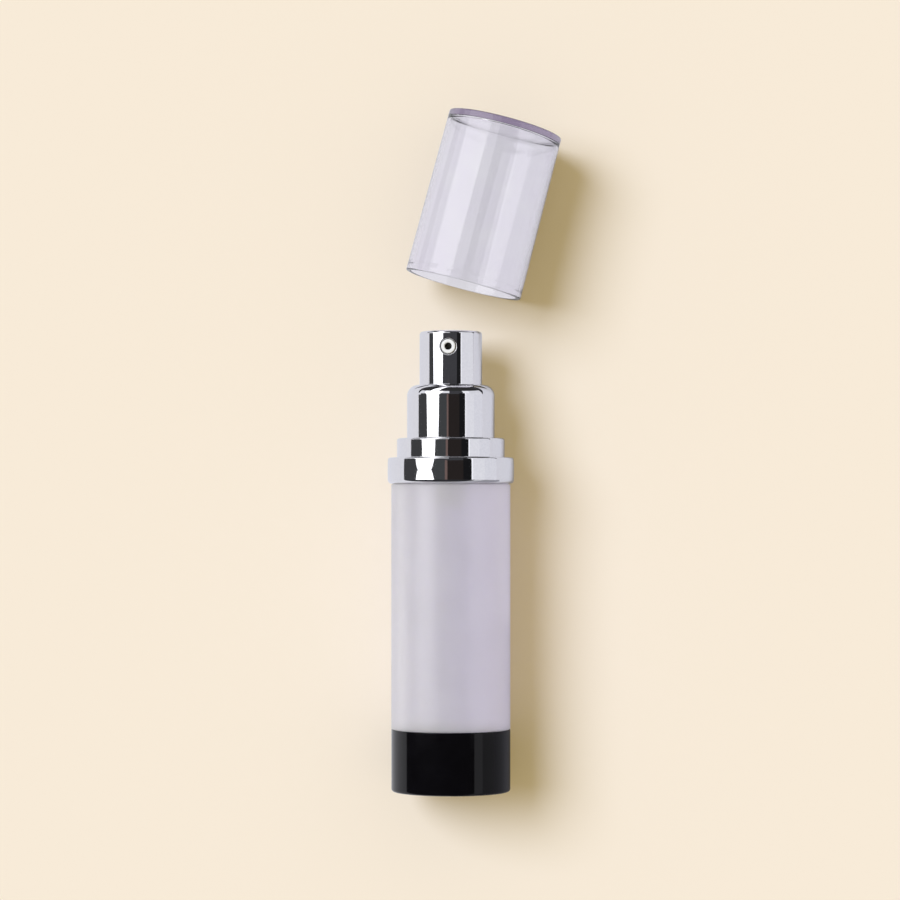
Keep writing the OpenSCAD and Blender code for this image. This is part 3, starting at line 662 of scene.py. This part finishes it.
tent = dict(
    radius=300, ends=(-6000, 6000), sweep=(-95, 90), facets=96,
    screen=(1.8, 1.8, 1.84), screenAt=-48, screenHalf=11.5, screenGrowth=1.15, screenMost=27,
    screenFar=13, screenWaist=83, screenFrom=4, screenFarFrom=300,
    stretches=[
        (-6000, [(-95, (0.03, 0.03, 0.032)), (45, (0.53, 0.53, 0.56)), (62, (0.3, 0.3, 0.32))]),
        (0, [(-95, (0.05, 0.05, 0.052)), (-31, (0.052, 0.055, 0.057)), (-10.5, (0.16, 0.11, 0.10)),
             (-6.3, (0.021, 0.017, 0.016)), (22, (0.009, 0.009, 0.010)), (37, (0.98, 0.98, 1.02)),
             (40, (0.77, 0.77, 0.81)), (62, (0.72, 0.72, 0.77))]),
        (112, [(-95, (0.75, 0.745, 0.78)), (-86, (0.05, 0.05, 0.052)), (-31, (0.05, 0.05, 0.055)),
               (22, (0.012, 0.012, 0.013)), (36, (0.98, 0.98, 1.02)), (40, (0.75, 0.75, 0.79))]),
        (160, [(-95, (0.8, 0.8, 0.84)), (-4, (0.05, 0.05, 0.055)), (32, (0.9, 0.9, 0.94)),
               (50, (0.72, 0.72, 0.76))]),
        (300, [(-95, (0.03, 0.03, 0.03))])],
)


def makeTent(settings):
    first, last = settings["sweep"]
    ends = np.array(settings["ends"], float)
    rows = np.stack([0 * ends + settings["radius"], ends, 0 * ends - 1, 0 * ends], 1)
    angles = np.radians(np.linspace(first, last, settings["facets"] + 1))
    piece = welded("reflectionTent", [turned(rows, angles)])
    material = bpy.data.materials.new("tentCloth")
    tree = emptyTree(material)
    where = addNode(tree, "TexCoord", {}).outputs["Object"]
    x, y, z = addNode(tree, "SeparateXYZ", {0: where}).outputs
    radians = addNode(tree, "Math", {0: x, 1: z}, operation="ARCTAN2")
    angle = addNode(tree, "Math", {0: radians}, operation="DEGREES")
    share = addNode(tree, "MapRange", {"Value": angle, "From Min": first, "From Max": last})
    colour = (0, 0, 0)
    for start, bands in settings["stretches"]:
        ramp = addNode(tree, "ValToRGB", {0: share})
        ramp.color_ramp.interpolation = "CONSTANT"
        stops = ramp.color_ramp.elements
        stops.remove(stops[-1])
        for i, (degrees, shade) in enumerate(bands):
            stop = stops.new((degrees - first) / (last - first)) if i else stops[0]
            stop.color = (*shade, 1)
        begun = addNode(tree, "Math", {0: y, 1: start * mm}, operation="GREATER_THAN")
        colour = addNode(tree, "Mix", {0: begun, 6: colour, 7: ramp}, data_type="RGBA")
    # Half the screen's width, in degrees. A Mix node's plain numbers are its inputs 2 and 3.
    place = addNode(tree, "Math", {0: y, 1: mm}, operation="DIVIDE")
    past = addNode(tree, "Math", {0: place, 1: settings["screenWaist"]}, operation="SUBTRACT")
    along = addNode(tree, "Math", {0: past}, operation="ABSOLUTE")
    root = addNode(tree, "Math", {0: along}, operation="SQRT")
    half = addNode(tree, "Math", {0: root, 1: settings["screenGrowth"], 2: settings["screenHalf"]},
                   operation="MULTIPLY_ADD")
    half = addNode(tree, "Math", {0: half, 1: settings["screenMost"]}, operation="MINIMUM")
    far = addNode(tree, "Math", {0: place, 1: settings["screenFarFrom"]}, operation="GREATER_THAN")
    half = addNode(tree, "Mix", {0: far, 2: half, 3: settings["screenFar"]})
    off = addNode(tree, "Math", {0: angle, 1: settings["screenAt"]}, operation="SUBTRACT")
    across = addNode(tree, "Math", {0: off}, operation="ABSOLUTE")
    within = addNode(tree, "Math", {0: across, 1: half}, operation="LESS_THAN")
    begun = addNode(tree, "Math", {0: place, 1: settings["screenFrom"]}, operation="GREATER_THAN")
    onScreen = addNode(tree, "Math", {0: within, 1: begun}, operation="MULTIPLY")
    # To a ray that has bounced off something dull, the tent is no brighter than the room
    path = addNode(tree, "LightPath", {}).outputs
    dull = addNode(tree, "Math", {0: path["Diffuse Depth"], 1: 0.5}, operation="GREATER_THAN")
    for factor, over in ((onScreen, settings["screen"]), (dull, room["fill"])):
        colour = addNode(tree, "Mix", {0: factor, 6: colour, 7: over}, data_type="RGBA")
    glow = addNode(tree, "Emission", {0: colour})
    addNode(tree, "OutputMaterial", {0: glow})
    piece.data.materials.append(material)
    piece.visible_camera = piece.visible_diffuse = piece.visible_shadow = False


makeTent(tent)

# Floor: pale board. Its own glow, which only the camera sees, keeps the shadows warm. Metal mirrors
# it in the colour mirrored, or insideCap where that is seen through clear plastic, and the plastic
# itself shows the colours under, from left to right, as a painted shade. Both have patches of
# painted shadow and painted dark reflection: a colour, what its measures are all over, and what
# they are all below. The measures are x and y on the floor, beside for the distance from the
# bottle's axis, and run for how far the ray has come.

floor = dict(
    size=3000, z=-15.45, board=(0.803, 0.741, 0.686), bounced=(0.80, 0.78, 0.84),
    insideCap=(0.76, 0.75, 0.80), mirrored=(0.75, 0.745, 0.78),
    # Painted shadow and painted dark reflections, seen only in metal: the right half a little
    # darker, darker still beside the base, and near black patches past y 112 and y 150 that the
    # bright steps mirror as dark marks
    mirroredShadePatches=[
        ((0.68, 0.675, 0.72), dict(x=0), dict()),
        ((0.30, 0.295, 0.33), dict(x=0), dict(y=40)),
        ((0.04, 0.04, 0.045), dict(y=112, run=31), dict(y=126, beside=27)),
        ((0.04, 0.04, 0.045), dict(y=150, run=70), dict())],
    # Painted shade seen through clear plastic: the floor runs from light on the left to darker on
    # the right, and a darker violet patch under the barrel stands for its shadow
    under=((0.84, 0.83, 0.865), (0.66, 0.655, 0.70)), underSpan=(-20, 50),
    underShadowPatches=[((0.44, 0.38, 0.74), dict(), dict(y=80, run=25))],
)


def patched(tree, colour, patches, measures):
    # Lays patches over a colour, the later ones over the earlier
    for patch, above, below in patches:
        within = 1.0
        for limits, operation in ((above, "GREATER_THAN"), (below, "LESS_THAN")):
            for name, limit in limits.items():
                passed = addNode(tree, "Math", {0: measures[name], 1: limit * mm},
                                 operation=operation)
                within = addNode(tree, "Math", {0: within, 1: passed}, operation="MULTIPLY")
        colour = addNode(tree, "Mix", {0: within, 6: colour, 7: patch}, data_type="RGBA")
    return colour


def makeFloor(settings):
    half = settings["size"] / 2
    across, along = np.meshgrid([-half, half], [-half, half], indexing="ij")
    points = np.stack([across, along, 0 * across + settings["z"]], -1)
    piece = welded("paleFloor", [(points, np.array([0, 0, 1]) + 0 * points)])
    material = bpy.data.materials.new("paleBoard")
    tree = emptyTree(material)
    path = addNode(tree, "LightPath", {}).outputs
    where = addNode(tree, "TexCoord", {}).outputs["Object"]
    x, y, z = addNode(tree, "SeparateXYZ", {0: where}).outputs
    beside = addNode(tree, "Math", {0: x}, operation="ABSOLUTE")
    measures = dict(x=x, y=y, beside=beside, run=path["Ray Length"])
    mirrored = patched(tree, settings["mirrored"], settings["mirroredShadePatches"], measures)
    mirrored = addNode(tree, "Mix", {0: path["Transmission Depth"], 6: mirrored,
                                     7: settings["insideCap"]}, data_type="RGBA")
    colour = settings["bounced"]
    for factor, over in ((path["Is Glossy Ray"], mirrored),
                         (path["Is Camera Ray"], settings["board"])):
        colour = addNode(tree, "Mix", {0: factor, 6: colour, 7: over}, data_type="RGBA")
    board = addNode(tree, "BsdfDiffuse", {"Color": colour})
    beige = linear(room["beige"])
    warmth = [max(0, whole - part) for whole, part in zip(beige, settings["board"])]
    warm = addNode(tree, "Mix", {0: path["Is Camera Ray"], 6: (0, 0, 0), 7: warmth},
                   data_type="RGBA")
    glow = addNode(tree, "Emission", {0: warm})
    lit = addNode(tree, "AddShader", {0: board, 1: glow})
    left, right = (limit * mm for limit in settings["underSpan"])
    span = addNode(tree, "MapRange", {"Value": x, "From Min": left, "From Max": right})
    start, end = settings["under"]
    under = addNode(tree, "Mix", {0: span, 6: start, 7: end}, data_type="RGBA")
    under = patched(tree, under, settings["underShadowPatches"], measures)
    through = addNode(tree, "Emission", {0: under})
    both = addNode(tree, "MixShader", {0: path["Is Transmission Ray"], 1: lit, 2: through})
    addNode(tree, "OutputMaterial", {0: both})
    piece.data.materials.append(material)


makeFloor(floor)
print("room, tent and floor made")

# Camera, straight above the shoulder of the bottle. Rise shifts the frame along the bottle, as a
# share of its width.

view = dict(place=(-0.2, 66.0, 720.0), lens=118.1, rise=0.0784)


def makeCamera(settings):
    lens = bpy.data.cameras.new("overhead")
    lens.lens = settings["lens"]
    lens.shift_y = settings["rise"]
    holder = bpy.data.objects.new("overhead", lens)
    holder.location = [v * mm for v in settings["place"]]
    bpy.context.scene.collection.objects.link(holder)
    bpy.context.scene.camera = holder


makeCamera(view)
bpy.context.scene.view_settings.view_transform = "Standard"
bpy.context.view_layer.update()
